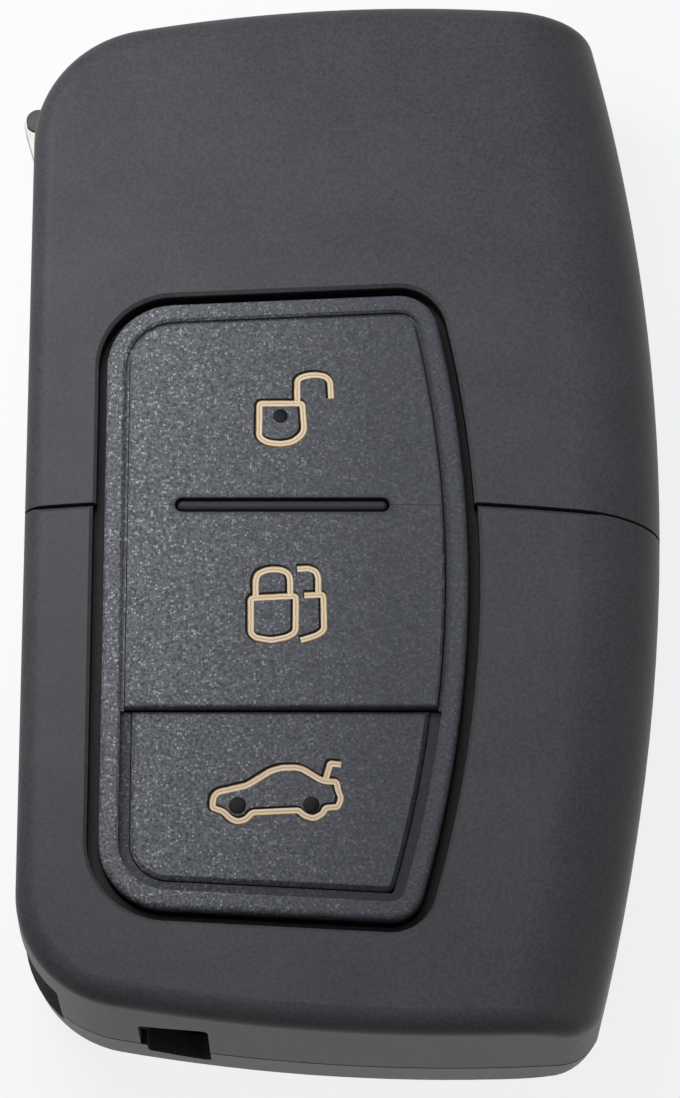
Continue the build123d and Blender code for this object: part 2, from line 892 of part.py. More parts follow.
def lock_panel(low_y, high_y):
    top_z = face_z + key_crown
    plate = pad_slab(-(rim_width + rim_groove), key_low_z, top_z)
    plate = plate & block(-far, far, low_y, high_y, 0, far)
    edges = plate.faces().sort_by(Axis.Z)[-1].edges()
    hinge_side = min(edges, key=lambda e: abs(e.center().Y - bar_y))
    plate = fillet([e for e in edges if e != hinge_side], rubber_round)
    return plate - bar_cut()


def press_gap(switch_y):
    return abs(switch_y - bar_y) * tan(radians(key_tilt)) + press_margin


def nub(switch_y, gap, top_z):
    return rod(key_switch_x, switch_y, nub_radius, switch_high_z + gap, top_z)


def unlock_key():
    plate = lock_panel(bar_y + seam_gap / 2, far)
    return plate + nub(unlock_switch_y, press_gap(unlock_switch_y), key_low_z + 0.3)


def lock_key():
    plate = lock_panel(step_y + step_gap / 2, bar_y - seam_gap / 2)
    return plate + nub(lock_switch_y, press_gap(lock_switch_y), key_low_z + 0.3)


def boot_key():
    low_z = boot_high_z - boot_plate
    inner_face = pad_face(-(rim_width + boot_groove + boot_corner))
    plate = slab(offset(inner_face, boot_corner), low_z, boot_high_z)
    plate = plate & block(-far, far, -far, step_y - step_gap / 2, 0, far)
    plate = chamfer(plate.faces().sort_by(Axis.Z)[-1].edges(), boot_bevel)
    return plate + nub(boot_switch_y, boot_travel + press_margin, low_z + 0.3)


# All sub-parts, one file each

parts = {
    "rear_shell": rear_shell(),
    "upper_front_shell": upper_front_shell(),
    "blade_deck": blade_deck(),
    "deck_screws": deck_screws(),
    "transponder_chip": transponder_chip(),
    "flip_hub": flip_hub(),
    "key_blade": key_blade(),
    "blade_roll_pin": blade_roll_pin(),
    "flip_spring": flip_spring(),
    "release_button": release_button(),
    "lower_front_shell": lower_front_shell(),
    "battery_door": battery_door(),
    "circuit_board": circuit_board(),
    "coin_cell": coin_cell(),
    "battery_contact_negative": battery_contact_negative(),
    "battery_contact_positive": battery_contact_positive(),
    "unlock_switch": switch(unlock_switch_y),
    "lock_switch": switch(lock_switch_y),
    "boot_switch": switch(boot_switch_y),
    "controller_chip": controller_chip(),
    "antenna_coil": antenna_coil(),
    "button_pad": button_pad(),
    "unlock_key": unlock_key(),
    "lock_key": lock_key(),
    "boot_key": boot_key(),
}

os.makedirs("parts", exist_ok=True)
for node, shape in parts.items():
    export_step(shape, f"parts/{node}.step")
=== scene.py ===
import math

import bmesh
import bpy
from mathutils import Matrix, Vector


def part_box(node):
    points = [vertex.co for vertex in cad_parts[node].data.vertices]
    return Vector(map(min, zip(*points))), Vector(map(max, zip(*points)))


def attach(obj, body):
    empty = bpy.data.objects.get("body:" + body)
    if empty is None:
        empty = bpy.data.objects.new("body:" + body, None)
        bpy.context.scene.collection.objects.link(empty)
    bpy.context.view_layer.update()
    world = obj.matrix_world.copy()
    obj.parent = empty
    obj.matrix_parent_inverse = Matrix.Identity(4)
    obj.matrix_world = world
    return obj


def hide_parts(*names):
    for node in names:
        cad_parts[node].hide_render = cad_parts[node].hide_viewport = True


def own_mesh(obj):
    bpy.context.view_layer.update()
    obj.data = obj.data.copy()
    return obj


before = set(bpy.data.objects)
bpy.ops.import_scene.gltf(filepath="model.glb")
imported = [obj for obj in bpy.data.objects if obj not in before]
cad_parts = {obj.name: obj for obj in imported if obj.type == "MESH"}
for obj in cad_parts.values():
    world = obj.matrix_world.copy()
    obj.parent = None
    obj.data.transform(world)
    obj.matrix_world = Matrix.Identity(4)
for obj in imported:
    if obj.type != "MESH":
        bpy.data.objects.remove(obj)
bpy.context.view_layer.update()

mm = 0.001


# Back moulding and the two front covers. Black ABS, injection moulded in tools with a
# spark-eroded skin: dull charcoal faces with a fine even grain and faint clouding. The
# walls of the pad's opening, the floor of the gap round the pad and the parting line get painted shade,
# near black.

# Real spark-eroded grain is near 0.05 mm. It is drawn at 0.22 mm so that it shows.
case_grain = 0.22 * mm
case_grain_depth = 0.03 * mm
cloud_size = 5 * mm
# Painted shade: the near black that stands for the shade in the pad's opening and in the joint.
painted_shade_black = "#0f0f10"
opening_shade_top = 0.3 * mm
opening_shade_depth = 0.7 * mm
opening_margin = 1.3 * mm
parting_gap = 0.2 * mm
joint_shade_half_width = 0.16 * mm
joint_shade_fade = 0.28 * mm


def linear(hex_value):
    channels = [int(hex_value[i:i + 2], 16) / 255 for i in (1, 3, 5)]
    return tuple(c / 12.92 if c <= 0.04045 else ((c + 0.055) / 1.055) ** 2.4 for c in channels) + (1.0,)


def add(material, kind, sockets=None, **properties):
    """Adds one node to a material or the world; its sockets get a value or a link."""
    node = material.node_tree.nodes.new(kind)
    for name, value in properties.items():
        setattr(node, name, value)
    for name, value in (sockets or {}).items():
        if isinstance(value, bpy.types.NodeSocket):
            material.node_tree.links.new(value, node.inputs[name])
        else:
            node.inputs[name].default_value = value
    return node


def blank(name):
    material = bpy.data.materials.new(name)
    material.use_nodes = True
    material.node_tree.nodes.clear()
    return material


def finish_shader(material, sockets):
    shader = add(material, "ShaderNodeBsdfPrincipled", sockets)
    add(material, "ShaderNodeOutputMaterial", {"Surface": shader.outputs[0]})


def ramp(material, value, stops):
    """Colours along a 0 to 1 value, as (position, colour) stops."""
    node = add(material, "ShaderNodeValToRGB", {"Fac": value})
    elements = node.color_ramp.elements
    while len(elements) < len(stops):
        elements.new(0.5)
    for element, (position, colour) in zip(elements, stops):
        element.position = position
        element.color = colour if isinstance(colour, tuple) else (colour, colour, colour, 1.0)
    return node


def off_middle(material, value, middle):
    """How far a value lies from a middle value, on either side."""
    side = add(material, "ShaderNodeMath", {0: value, 1: middle}, operation="SUBTRACT")
    return add(material, "ShaderNodeMath", {0: side.outputs[0]}, operation="ABSOLUTE").outputs[0]


def painted_gap_shade(material, place):
    """How much painted shade a point gets: on the walls and floor round the pad's opening and along the
    joint.
    """
    low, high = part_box("button_pad")
    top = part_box("upper_front_shell")[1][2]
    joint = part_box("upper_front_shell")[0][2] - parting_gap / 2
    axes = add(material, "ShaderNodeSeparateXYZ", {"Vector": place})
    opening_shade = add(material, "ShaderNodeMapRange", {"Value": axes.outputs["Z"],
                                                  "From Min": top - opening_shade_top,
                                                  "From Max": top - opening_shade_depth}).outputs[0]
    for axis, name in ((0, "X"), (1, "Y")):
        off = off_middle(material, axes.outputs[name], (low[axis] + high[axis]) / 2)
        reach = (high[axis] - low[axis]) / 2 + opening_margin
        near = add(material, "ShaderNodeMath", {0: off, 1: reach}, operation="LESS_THAN")
        opening_shade = add(material, "ShaderNodeMath", {0: opening_shade, 1: near.outputs[0]},
                     operation="MULTIPLY").outputs[0]
    # Painted shade along the joint between the mouldings, fading out on either side.
    rise = off_middle(material, axes.outputs["Z"], joint)
    line = add(material, "ShaderNodeMapRange", {"Value": rise, "From Min": joint_shade_half_width,
                                                "From Max": joint_shade_fade,
                                                "To Min": 0.95, "To Max": 0.0})
    return add(material, "ShaderNodeMath", {0: opening_shade, 1: line.outputs[0]}, operation="MAXIMUM").outputs[0]


def moulded_abs(name, dark, light, grain, depth, dull, shade=None):
    """ABS from a grained tool: pits in the skin, slow clouding from the melt's flow, little gloss."""
    material = blank(name)
    place = add(material, "ShaderNodeTexCoord").outputs["Object"]
    cloud = add(material, "ShaderNodeTexNoise", {"Vector": place, "Scale": 1 / cloud_size, "Detail": 4.0})
    pits = add(material, "ShaderNodeTexNoise", {"Vector": place, "Scale": 1 / grain, "Detail": 2.0,
                                                "Roughness": 0.6})
    both = add(material, "ShaderNodeMix", {0: 0.75, 2: cloud.outputs[0], 3: pits.outputs[0]})
    colour = ramp(material, both.outputs[0], [(0.36, linear(dark)), (0.64, linear(light))]).outputs[0]
    # Painted shade over the grain, where the shade function asks for it.
    if shade:
        colour = add(material, "ShaderNodeMix", {0: shade(material, place), 6: colour,
                                                 7: linear(painted_shade_black)}, data_type="RGBA").outputs[2]
    gloss = ramp(material, pits.outputs[0], [(0.3, dull - 0.06), (0.7, dull + 0.06)])
    skin = add(material, "ShaderNodeBump", {"Strength": 0.35, "Distance": depth, "Height": pits.outputs[0]})
    finish_shader(material, {"Base Color": colour, "Roughness": gloss.outputs[0],
                             "Normal": skin.outputs[0], "IOR": 1.53, "Specular IOR Level": 0.13})
    return material


def dress(node, material):
    """Gives a CAD node its real finish."""
    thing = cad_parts[node]
    thing.data.materials.clear()
    thing.data.materials.append(material)
    return thing


# The case gets painted shade in the pad's opening and along the joint.
case_abs = moulded_abs("spark_eroded_abs", "#3a3b3f", "#4b4c4f", case_grain, case_grain_depth, 0.46,
                       painted_gap_shade)
dress("rear_shell", case_abs)
dress("upper_front_shell", case_abs)
dress("lower_front_shell", case_abs)


# Inner plate and battery door. The same ABS from a tool that is only fine-ground, so
# these hidden mouldings are smoother, darker and a little shinier than the case.

inner_abs = moulded_abs("fine_ground_abs", "#2b2b2d", "#323234", 0.4 * mm, 0.006 * mm, 0.42)
dress("blade_deck", inner_abs)
dress("battery_door", inner_abs)


# Flip hub that carries the blade. Glass-filled nylon, moulded: near black and waxy, with
# paler short fibres just under the skin, drawn wider than they are so that they show.

fibre_size = 0.3 * mm
melt_cloud = 1.5 * mm


def fibre_nylon():
    material = blank("glass_filled_nylon")
    place = add(material, "ShaderNodeTexCoord").outputs["Object"]
    stretch = add(material, "ShaderNodeMapping", {"Vector": place, "Scale": (1.0, 0.25, 1.0)})
    fibres = add(material, "ShaderNodeTexVoronoi", {"Vector": stretch.outputs[0], "Scale": 1 / fibre_size})
    cloud = add(material, "ShaderNodeTexNoise", {"Vector": place, "Scale": 1 / melt_cloud, "Detail": 2.0})
    both = add(material, "ShaderNodeMix", {0: 0.5, 2: fibres.outputs["Distance"], 3: cloud.outputs[0]})
    colour = ramp(material, both.outputs[0], [(0.2, linear("#3c3c3c")), (0.45, linear("#2a2a2b"))])
    gloss = ramp(material, cloud.outputs[0], [(0.35, 0.38), (0.65, 0.5)])
    skin = add(material, "ShaderNodeBump", {"Strength": 0.2, "Distance": 0.01 * mm,
                                            "Height": fibres.outputs["Distance"]})
    finish_shader(material, {"Base Color": colour.outputs[0], "Roughness": gloss.outputs[0],
                             "Normal": skin.outputs[0], "IOR": 1.53, "Specular IOR Level": 0.4})
    return material


dress("flip_hub", fibre_nylon())


# Blade, roll pin and screws. The blade is an uncut steel blank, milled and nickel plated,
# with fine lines along it. It is held in the hub by the roll pin. The screws are turned
# and zinc plated.

# Where the heel's corners lie in the blank, and where they lie once it is ground back.
heel_corners = {(-22.55, 31.93): (-22.34, 31.7), (-21.9, 23.55): (-21.45, 28.6),
                (-21.9, 19.05): (-21.3, 19.05)}
corner_reach = 0.02 * mm


def plated_steel(name, dark, light, lines, width, dull):
    """Plated steel. The tool's marks run along one axis and show through the plating."""
    material = blank(name)
    place = add(material, "ShaderNodeTexCoord").outputs["Object"]
    stretch = add(material, "ShaderNodeMapping", {"Vector": place, "Scale": lines})
    marks = add(material, "ShaderNodeTexNoise", {"Vector": stretch.outputs[0], "Scale": 1 / width,
                                                 "Detail": 4.0, "Roughness": 0.65})
    smear = add(material, "ShaderNodeTexNoise", {"Vector": place, "Scale": 1 / (3 * mm), "Detail": 3.0})
    both = add(material, "ShaderNodeMix", {0: 0.4, 2: marks.outputs[0], 3: smear.outputs[0]})
    colour = ramp(material, both.outputs[0], [(0.35, linear(dark)), (0.65, linear(light))])
    gloss = ramp(material, both.outputs[0], [(0.3, dull - 0.07), (0.7, dull + 0.09)])
    skin = add(material, "ShaderNodeBump", {"Strength": 0.12, "Distance": 0.008 * mm,
                                            "Height": marks.outputs[0]})
    finish_shader(material, {"Base Color": colour.outputs[0], "Metallic": 1.0,
                             "Roughness": gloss.outputs[0], "Normal": skin.outputs[0]})
    return material


def piece_from(mesh, name, material, body):
    """Turns a mesh into a piece that rides on a body."""
    bmesh.ops.recalc_face_normals(mesh, faces=mesh.faces)
    data = bpy.data.meshes.new(name)
    mesh.to_mesh(data)
    mesh.free()
    thing = bpy.data.objects.new(name, data)
    bpy.context.collection.objects.link(thing)
    thing.data.materials.append(material)
    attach(thing, body)
    return thing


def trimmed_blade(material):
    """The blade with its heel ground back, so that only a short taper shows under the hub's nose."""
    mesh = bmesh.new()
    mesh.from_mesh(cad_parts["key_blade"].data)
    for vert in mesh.verts:
        for (x, y), (new_x, new_y) in heel_corners.items():
            if abs(vert.co.x - x * mm) < corner_reach and abs(vert.co.y - y * mm) < corner_reach:
                vert.co.x, vert.co.y = new_x * mm, new_y * mm
                break
    bmesh.ops.remove_doubles(mesh, verts=mesh.verts, dist=0.001 * mm)
    blade = piece_from(mesh, "ground_blade", material, "blade")
    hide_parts("key_blade")


trimmed_blade(plated_steel("nickel_plated_blade", "#868582", "#acaba7", (1.0, 0.06, 1.0), 0.12 * mm, 0.42))
wire_steel = plated_steel("drawn_spring_steel", "#8f9092", "#b3b4b5", (1.0, 1.0, 0.3), 0.2 * mm, 0.28)
dress("blade_roll_pin", wire_steel)
dress("deck_screws", plated_steel("zinc_plated_screw", "#9aa0a6", "#bcc0c2", (1.0, 1.0, 1.0), 0.3 * mm,
                                  0.34))


# Coil spring under the hub. Hard-drawn steel wire wound on a mandrel. The release button
# stands on its lower end, so the real coil shortens by the button's travel when that is pressed; here it is
# drawn at one length and rides with the blade.

spring_wire = 0.55 * mm
spring_turns = 2.25
steps_in_turn = 48
wire_sides = 14


def coil_spring(wire, turns, material):
    low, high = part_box("flip_spring")
    axis_x, axis_y = (low[0] + high[0]) / 2, (low[1] + high[1]) / 2
    length = high[2] - low[2]
    radius = (high[0] - low[0] - wire) / 2
    mesh = bmesh.new()
    steps = round(turns * steps_in_turn)
    rings = []
    for i in range(steps + 1):
        angle = math.tau * turns * i / steps
        out = Vector((math.cos(angle), math.sin(angle), 0))
        heart = Vector((axis_x, axis_y, low[2] + wire / 2 + (length - wire) * i / steps)) + out * radius
        ring = []
        for j in range(wire_sides):
            turn = math.tau * j / wire_sides
            side = out * math.cos(turn) + Vector((0, 0, math.sin(turn)))
            ring.append(mesh.verts.new(heart + side * wire / 2))
        rings.append(ring)
    for a, b in zip(rings, rings[1:]):
        for j in range(wire_sides):
            k = (j + 1) % wire_sides
            mesh.faces.new((a[j], a[k], b[k], b[j]))
    mesh.faces.new(rings[0])
    mesh.faces.new(rings[-1])
    spring = piece_from(mesh, "wound_spring", material, "blade")
    for face in spring.data.polygons:
        face.use_smooth = len(face.vertices) == 4
    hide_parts("flip_spring")
    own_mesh(spring)


coil_spring(spring_wire, spring_turns, wire_steel)


# Release button in the back, pushed to let the blade out. ABS with a satin chrome plating,
# so it reads as metal with a soft sheen and slow waves from the moulding under it.

# A satin blast is finer than this. It is drawn coarser so that it shows.
blast_grain = 0.12 * mm
moulding_wave = 4 * mm


def satin_chrome():
    material = blank("satin_chrome_on_abs")
    place = add(material, "ShaderNodeTexCoord").outputs["Object"]
    blast = add(material, "ShaderNodeTexNoise", {"Vector": place, "Scale": 1 / blast_grain, "Detail": 2.0})
    wave = add(material, "ShaderNodeTexNoise", {"Vector": place, "Scale": 1 / moulding_wave, "Detail": 1.0})
    colour = ramp(material, wave.outputs[0], [(0.35, linear("#b4b5b7")), (0.65, linear("#c6c7c9"))])
    gloss = ramp(material, blast.outputs[0], [(0.3, 0.3), (0.7, 0.42)])
    skin = add(material, "ShaderNodeBump", {"Strength": 0.25, "Distance": 0.01 * mm,
                                            "Height": blast.outputs[0]})
    finish_shader(material, {"Base Color": colour.outputs[0], "Metallic": 1.0,
                             "Roughness": gloss.outputs[0], "Normal": skin.outputs[0]})
    return material


dress("release_button", satin_chrome())


# Rubber pad and its three keys. One moulding of black silicone, pressed in a tool with a
# coarse blasted face: blue-grey, with painted highlights as white specks where tiny facets catch
# the light, and painted light that makes specks and grain stronger at the left. The bar between the lock
# keys is smooth; the deep grooves get painted shade.

# Real facets of a blasted tool are below 0.1 mm. They are drawn wider so that they show.
glint_facet_size = 0.17 * mm
pit_size = 0.2 * mm
patch_size = 0.9 * mm
# Painted light: specks and grain are strongest at the first x and weakest at the second.
brightest_side_x = -16 * mm
dimmest_side_x = 3 * mm
bar_middle_x = -3.9 * mm
bar_half_length = 6.6 * mm
bar_radius = 0.4 * mm
bar_edge = 0.8 * mm
# Painted shade in the grooves: it starts this far below the pad's top and is near black at the next depth.
groove_shade_top = 0.62 * mm
groove_shade_depth = 1.1 * mm


def off_bar(material, axes):
    """How far a point lies from the middle line of the bar, round its ends too."""
    along = off_middle(material, axes.outputs["X"], bar_middle_x)
    past_end = add(material, "ShaderNodeMath", {0: along, 1: bar_half_length}, operation="SUBTRACT")
    past_end = add(material, "ShaderNodeMath", {0: past_end.outputs[0], 1: 0.0}, operation="MAXIMUM")
    offset = add(material, "ShaderNodeCombineXYZ", {"X": past_end.outputs[0], "Y": axes.outputs["Y"]})
    return add(material, "ShaderNodeVectorMath", {0: offset.outputs[0]},
               operation="LENGTH").outputs["Value"]


def silicone_with_painted_light():
    material = blank("silicone_with_painted_light")
    place = add(material, "ShaderNodeTexCoord").outputs["Object"]
    facets = add(material, "ShaderNodeTexVoronoi", {"Vector": place, "Scale": 1 / glint_facet_size})
    pits = add(material, "ShaderNodeTexNoise", {"Vector": place, "Scale": 1 / pit_size, "Detail": 3.0,
                                                "Roughness": 0.75})
    patch = add(material, "ShaderNodeTexNoise", {"Vector": place, "Scale": 1 / patch_size, "Detail": 3.0,
                                                 "Roughness": 0.6})
    axes = add(material, "ShaderNodeSeparateXYZ", {"Vector": place})

    # Where the face is blasted, and painted light: specks and grain fade from the left to the right.
    lit_from_left = add(material, "ShaderNodeMapRange", {"Value": axes.outputs["X"], "From Min": brightest_side_x,
                                                  "From Max": dimmest_side_x, "To Min": 0.9, "To Max": 0.14})
    blasted = add(material, "ShaderNodeMapRange", {"Value": off_bar(material, axes), "From Min": bar_radius,
                                                   "From Max": bar_edge, "To Min": 0.1, "To Max": 1.0})
    strength = add(material, "ShaderNodeMath", {0: lit_from_left.outputs[0], 1: blasted.outputs[0]},
                   operation="MULTIPLY")

    # Painted highlights: few facets would face the light, each has its own chance of a white glint, and
    # they come in patches.
    chance = add(material, "ShaderNodeSeparateColor", {"Color": facets.outputs["Color"]})
    lifted = add(material, "ShaderNodeMath", {0: patch.outputs[0], 1: 1.1, 2: chance.outputs["Red"]},
                 operation="MULTIPLY_ADD")
    rare = add(material, "ShaderNodeMath", {0: lifted.outputs[0], 1: 0.45}, operation="SUBTRACT")
    glint = ramp(material, rare.outputs[0], [(0.0, 0.0), (0.62, 0.0), (0.88, 0.35), (1.0, 1.0)])
    heart = ramp(material, facets.outputs["Distance"], [(0.15, 1.0), (0.6, 0.0)])
    grain = ramp(material, pits.outputs[0], [(0.37, 0.0), (0.72, 0.42)])
    shine = add(material, "ShaderNodeMath", {0: glint.outputs[0], 1: heart.outputs[0], 2: grain.outputs[0]},
                operation="MULTIPLY_ADD")
    shine = add(material, "ShaderNodeMath", {0: shine.outputs[0], 1: strength.outputs[0]},
                operation="MULTIPLY", use_clamp=True)

    # Blue-grey rubber, the painted glints over it, then the smooth bar, then painted shade in the deep
    # grooves.
    base = ramp(material, pits.outputs[0], [(0.34, linear("#383a40")), (0.66, linear("#4a4c53"))])
    # Painted highlights: the glints are mixed in as pale grey-white.
    colour = add(material, "ShaderNodeMix", {0: shine.outputs[0], 6: base.outputs[0], 7: linear("#bec1c6")},
                 data_type="RGBA")
    polish = add(material, "ShaderNodeMapRange", {"Value": blasted.outputs[0], "From Min": 0.1,
                                                  "From Max": 1.0, "To Min": 0.55, "To Max": 0.0})
    colour = add(material, "ShaderNodeMix", {0: polish.outputs[0], 6: colour.outputs[2],
                                             7: linear("#1c1d20")}, data_type="RGBA")
    # Painted shade: near black down in the deep grooves between the rim and the keys.
    pad_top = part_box("button_pad")[1][2]
    depth = add(material, "ShaderNodeMapRange", {"Value": axes.outputs["Z"],
                                                 "From Min": pad_top - groove_shade_top,
                                                 "From Max": pad_top - groove_shade_depth})
    colour = add(material, "ShaderNodeMix", {0: depth.outputs[0], 6: colour.outputs[2],
                                             7: linear(painted_shade_black)}, data_type="RGBA")
    gloss = ramp(material, pits.outputs[0], [(0.3, 0.5), (0.7, 0.66)])
    skin = add(material, "ShaderNodeBump", {"Strength": 0.4, "Distance": 0.03 * mm,
                                            "Height": pits.outputs[0]})
    finish_shader(material, {"Base Color": colour.outputs[2], "Roughness": gloss.outputs[0],
                             "Normal": skin.outputs[0], "IOR": 1.41, "Specular IOR Level": 0.2})
    return material


silicone = silicone_with_painted_light()
for node in ("button_pad", "unlock_key", "lock_key", "boot_key"):
    dress(node, silicone)


# Signs on the keys. Each line is a groove cut into the rubber by laser and filled with
# cream-gold ink: a pale floor with a darker line down its middle, edged by a near-black strip of painted
# shadow for the groove's walls, shifted up and left where those walls shade it.

ink_width = 0.45 * mm
# Painted shadow: a dark strip under the ink, shifted to the upper left, stands for the groove's shaded
# walls.
groove_shadow_width = 0.62 * mm
groove_shadow_shift = Vector((-0.07 * mm, 0.07 * mm, 0))
groove_shadow_sunk = 0.01 * mm
groove_shadow_rise = 0.012 * mm
ink_rise = 0.03 * mm
ink_swell = 0.034 * mm
ink_dip = 0.026 * mm
edge_slope = 0.03 * mm
blunt_corner = math.radians(120)
blunt_widening = 6
most_of_a_side = 0.48
corner_steps = 6
lock_face_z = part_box("lock_key")[1][2]
boot_face_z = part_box("boot_key")[1][2]


# Painted shadow: near-black rubber for the strip that stands for the groove's shaded walls.
def painted_groove_shadow():
    material = blank("groove_shadow_rubber")
    place = add(material, "ShaderNodeTexCoord").outputs["Object"]
    mottle = add(material, "ShaderNodeTexNoise", {"Vector": place, "Scale": 1 / (0.2 * mm), "Detail": 2.0})
    colour = ramp(material, mottle.outputs[0], [(0.35, linear("#0c0b0b")), (0.65, linear("#1f1c1a"))])
    finish_shader(material, {"Base Color": colour.outputs[0], "Roughness": 0.85, "Specular IOR Level": 0.1})
    return material


def gold_ink():
    material = blank("cream_gold_ink")
    place = add(material, "ShaderNodeTexCoord").outputs["Object"]
    across = add(material, "ShaderNodeAttribute", attribute_name="across").outputs["Fac"]
    clots = add(material, "ShaderNodeTexNoise", {"Vector": place, "Scale": 1 / (0.5 * mm), "Detail": 3.0})
    shifted = add(material, "ShaderNodeMath", {0: clots.outputs[0], 1: 0.24, 2: across},
                  operation="MULTIPLY_ADD")
    colour = ramp(material, shifted.outputs[0], [
        (0.12, linear("#9a7a55")), (0.24, linear("#dcc9a8")), (0.42, linear("#e6d6ba")),
        (0.6, linear("#b08a60")), (0.78, linear("#e6d6ba")), (0.95, linear("#d3bb94")),
        (1.0, linear("#94724a"))])
    skin = add(material, "ShaderNodeBump", {"Strength": 0.3, "Distance": 0.02 * mm,
                                            "Height": clots.outputs[0]})
    finish_shader(material, {"Base Color": colour.outputs[0], "Roughness": 0.48, "Normal": skin.outputs[0],
                             "Specular IOR Level": 0.35})
    return material


def rounded(points, closed, radius):
    """Rounds the corners of a drawn line as the laser head turns, the blunt ones wider."""
    line = []
    for i, point in enumerate(points):
        if not closed and i in (0, len(points) - 1):
            line.append(point)
            continue
        into = points[i - 1] - point
        out = points[(i + 1) % len(points)] - point
        wide = blunt_widening * radius if into.angle(out) > blunt_corner else radius
        cut = min(wide / math.tan(into.angle(out) / 2), most_of_a_side * into.length,
                  most_of_a_side * out.length)
        start = point + into.normalized() * cut
        end = point + out.normalized() * cut
        for step in range(corner_steps):
            share = step / (corner_steps - 1)
            line.append(start.lerp(point, share).lerp(point.lerp(end, share), share))
    return line


def stroke(mesh, line, closed, face_z, profile, shift):
    """Runs a flat profile, as (across, height) pairs, along a drawn line."""
    across = mesh.verts.layers.float.get("across") or mesh.verts.layers.float.new("across")
    rows = []
    for i, point in enumerate(line):
        before = line[i - 1] if i > 0 or closed else point
        after = line[(i + 1) % len(line)] if i < len(line) - 1 or closed else point
        into = (point - before).normalized() if before != point else (after - point).normalized()
        out = (after - point).normalized() if after != point else into
        side = Vector((-(into + out).y, (into + out).x)).normalized()
        reach = 1 / max(0.6, abs(side.dot(Vector((-into.y, into.x)))))
        row = []
        for offset, height in profile:
            x, y = point + side * offset * reach
            vert = mesh.verts.new((x + shift.x, y + shift.y, face_z + height))
            vert[across] = 0.5 + offset / (profile[-1][0] - profile[0][0])
            row.append(vert)
        rows.append(row)
    spans = list(zip(rows, rows[1:] + rows[:1])) if closed else list(zip(rows, rows[1:]))
    for a, b in spans:
        for j in range(len(profile) - 1):
            mesh.faces.new((a[j], a[j + 1], b[j + 1], b[j]))
    if not closed:
        mesh.faces.new(rows[0])
        mesh.faces.new(rows[-1])


def sign(name, lines, face_z, body, shadow_finish, ink):
    """Draws a sign on a key's face: the painted groove shadow first, the ink over it."""
    half = groove_shadow_width / 2
    edge = ink_width / 2
    groove_shadow = [(-half, -groove_shadow_sunk), (-half + edge_slope, groove_shadow_rise), (half - edge_slope, groove_shadow_rise),
             (half, -groove_shadow_sunk)]
    floor = [(-edge, 0.0), (-edge + edge_slope, ink_rise), (-edge * 0.4, ink_swell), (0, ink_dip),
             (edge * 0.4, ink_swell), (edge - edge_slope, ink_rise), (edge, 0.0)]
    for part, profile, shift, finish in (("groove_shadow", groove_shadow, groove_shadow_shift, shadow_finish), ("ink", floor, Vector(), ink)):
        mesh = bmesh.new()
        for points, closed, radius in lines:
            line = rounded([Vector((x, y)) * mm for x, y in points], closed, radius * mm)
            stroke(mesh, line, closed, face_z, profile, shift)
        piece_from(mesh, f"{name}_{part}", finish, body)


groove_shadow_finish = painted_groove_shadow()
ink_finish = gold_ink()
open_padlock = [
    ([(-5.44, 7.03), (-2.6, 7.03), (-2.44, 4.97), (-3.22, 4.31), (-4.05, 4.19), (-4.87, 4.28),
      (-5.46, 4.63)], True, 0.22),
    ([(-2.95, 7.03), (-2.95, 8.64), (-2.71, 8.86), (-2.12, 9.04), (-1.52, 9.04), (-1.05, 8.92),
      (-0.76, 8.6), (-0.68, 7.38)], False, 0.5),
]
closed_padlocks = [
    ([(-5.93, -6.43), (-2.97, -6.27), (-2.99, -8.76), (-3.59, -9.12), (-4.63, -9.3), (-5.62, -9.12),
      (-5.91, -8.79)], True, 0.22),
    ([(-5.61, -6.3), (-5.62, -5.15), (-5.47, -4.78), (-5.01, -4.54), (-4.49, -4.45), (-3.9, -4.51),
      (-3.49, -4.72), (-3.35, -5.15), (-3.34, -6.3)], False, 0.5),
    ([(-2.91, -4.45), (-2.16, -4.39), (-1.69, -4.6), (-1.52, -4.97), (-1.51, -6.18)], False, 0.4),
    ([(-2.44, -6.24), (-1.19, -6.18), (-1.13, -8.61), (-1.57, -8.94), (-2.15, -9.15),
      (-2.67, -9.3)], False, 0.2),
]
car_with_open_boot = [
    ([(-8.3, -20.31), (-8.27, -19.63), (-7.98, -19.29), (-6.07, -18.83), (-4.6, -17.88), (-3.86, -17.67),
      (-2.68, -17.65), (-1.42, -18.45), (-1.06, -18.56), (-0.32, -18.6), (-0.24, -19.1), (-0.02, -19.7),
      (-0.24, -20.27), (-1.05, -20.35), (-1.2, -20.69), (-1.79, -21.07), (-2.45, -20.84), (-2.75, -20.5),
      (-5.76, -20.65), (-6.05, -21.03), (-6.57, -21.26), (-7.16, -21.07), (-7.53, -20.61), (-8.04, -20.42)],
     True, 0.25),
    ([(-1.06, -18.49), (-0.75, -17.38), (-0.06, -17.46)], False, 0.15),
]
sign("open_padlock_sign", open_padlock, lock_face_z, "unlock", groove_shadow_finish, ink_finish)
sign("closed_padlocks_sign", closed_padlocks, lock_face_z, "lock", groove_shadow_finish, ink_finish)
sign("car_sign", car_with_open_boot, boot_face_z, "boot", groove_shadow_finish, ink_finish)


# Pips in the signs: the padlock's keyhole and the car's wheels. Small domes left by blind
# holes in the tool, in the same silicone but polished, so they stay darker than the face.

# The dome from its rim to its top, as (share of the radius, height in mm).
dome = [(1.0, -0.02), (0.94, 0.015), (0.78, 0.03), (0.5, 0.042), (0.2, 0.048)]
dome_sides = 32


